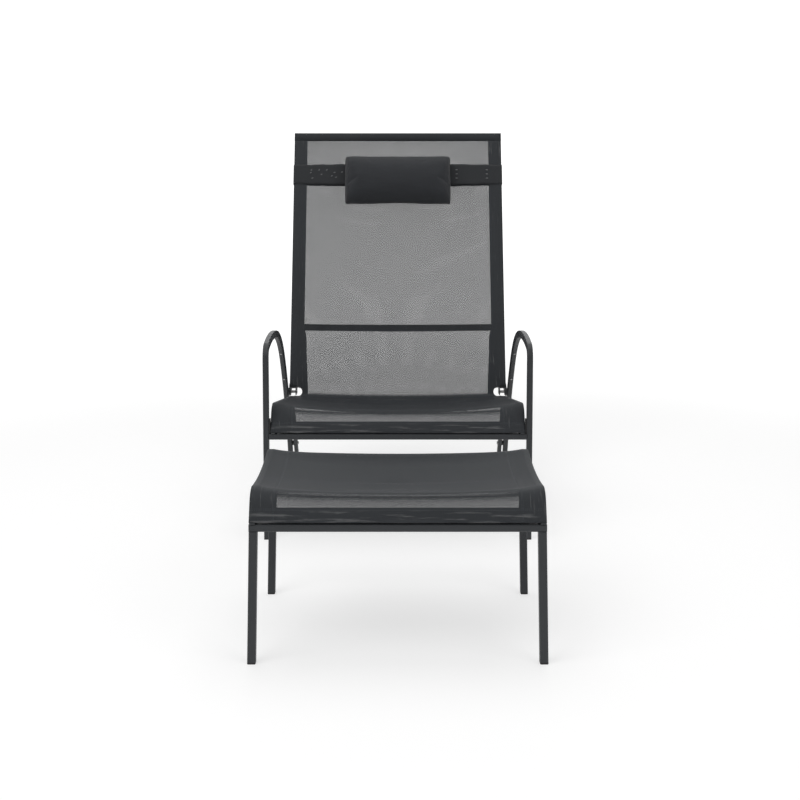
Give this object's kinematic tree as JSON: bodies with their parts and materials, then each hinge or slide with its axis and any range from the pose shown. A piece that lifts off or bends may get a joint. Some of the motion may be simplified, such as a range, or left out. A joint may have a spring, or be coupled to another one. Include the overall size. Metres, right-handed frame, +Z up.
{
  "type": "reclining garden armchair",
  "caption": "Garden armchair with a bent tube frame, a mesh sling seat, a reclining sling back, a sliding headrest pillow and a matching sling footstool.",
  "frame": {"origin": "on the floor, at the bottom centre of the box round chair and footstool", "axes": "+Z up, -Y to the front where the footstool stands, +X to the right as seen from the front"},
  "size_m": [0.71, 1.6404, 1.0852],
  "materials": {
    "frame_paint": "satin anthracite powder coat",
    "sling_mesh": "open woven coated mesh",
    "pillow_fabric": "plain woven outdoor fabric",
    "foam": "soft filling",
    "webbing": "ribbed elastic webbing",
    "steel": "brushed",
    "black_plastic": "matte"
  },
  "bodies": {
    "frame": {"side_frame_left": "frame_paint", "side_frame_right": "frame_paint", "front_rail": "frame_paint", "rear_rail": "frame_paint", "seat_rail_left": "frame_paint", "seat_rail_right": "frame_paint", "seat_sling": "sling_mesh", "seat_hem_bar": "frame_paint", "side_spacers": "black_plastic", "stay_bolts": "steel", "stay_spacers": "black_plastic", "seat_rail_plugs": "black_plastic", "arm_screws": "steel", "front_glides": "black_plastic", "rear_glides": "black_plastic", "index_plate_left": "frame_paint", "index_plate_right": "frame_paint", "pivot_pin_left": "steel", "pivot_pin_right": "steel"},
    "backrest": {"back_rail_left": "frame_paint", "back_rail_right": "frame_paint", "back_top_bar": "frame_paint", "back_crossbar": "frame_paint", "back_sling": "sling_mesh", "hinge_bracket_left": "frame_paint", "hinge_bracket_right": "frame_paint", "bracket_screws": "steel", "pivot_spacers": "black_plastic"},
    "lock_left": {"lock_pin_left": "steel"},
    "lock_right": {"lock_pin_right": "steel"},
    "headrest": {"headrest_cover": "pillow_fabric", "headrest_core": "foam", "headrest_strap": "webbing"},
    "footstool": {"footstool_front_leg_left": "frame_paint", "footstool_front_leg_right": "frame_paint", "footstool_rear_leg_left": "frame_paint", "footstool_rear_leg_right": "frame_paint", "footstool_front_rail": "frame_paint", "footstool_rear_rail": "frame_paint", "footstool_side_rail_left": "frame_paint", "footstool_side_rail_right": "frame_paint", "footstool_sling": "sling_mesh", "footstool_hem_bars": "frame_paint", "footstool_glides": "black_plastic"}
  },
  "joints": [
    {"name": "back_recline", "type": "hinge", "parent": "frame", "child": "backrest", "pos_m": [0, 0.55259, 0.2825], "axis": [-1, 0, 0], "range_deg": [0, 36]},
    {"name": "lock_left_slide", "type": "slide", "parent": "backrest", "child": "lock_left", "axis": [-1, 0, 0], "range_m": [0, 0.005]},
    {"name": "lock_right_slide", "type": "slide", "parent": "backrest", "child": "lock_right", "axis": [1, 0, 0], "range_m": [0, 0.005]},
    {"name": "headrest_slide", "type": "slide", "parent": "backrest", "child": "headrest", "axis": [0, 0.309, 0.9511], "range_m": [-0.4, 0.03]},
    {"name": "footstool_slide", "type": "slide", "parent": "frame", "child": "footstool", "axis": [0, 1, 0], "range_m": [-0.15, 0.36]}
  ]
}
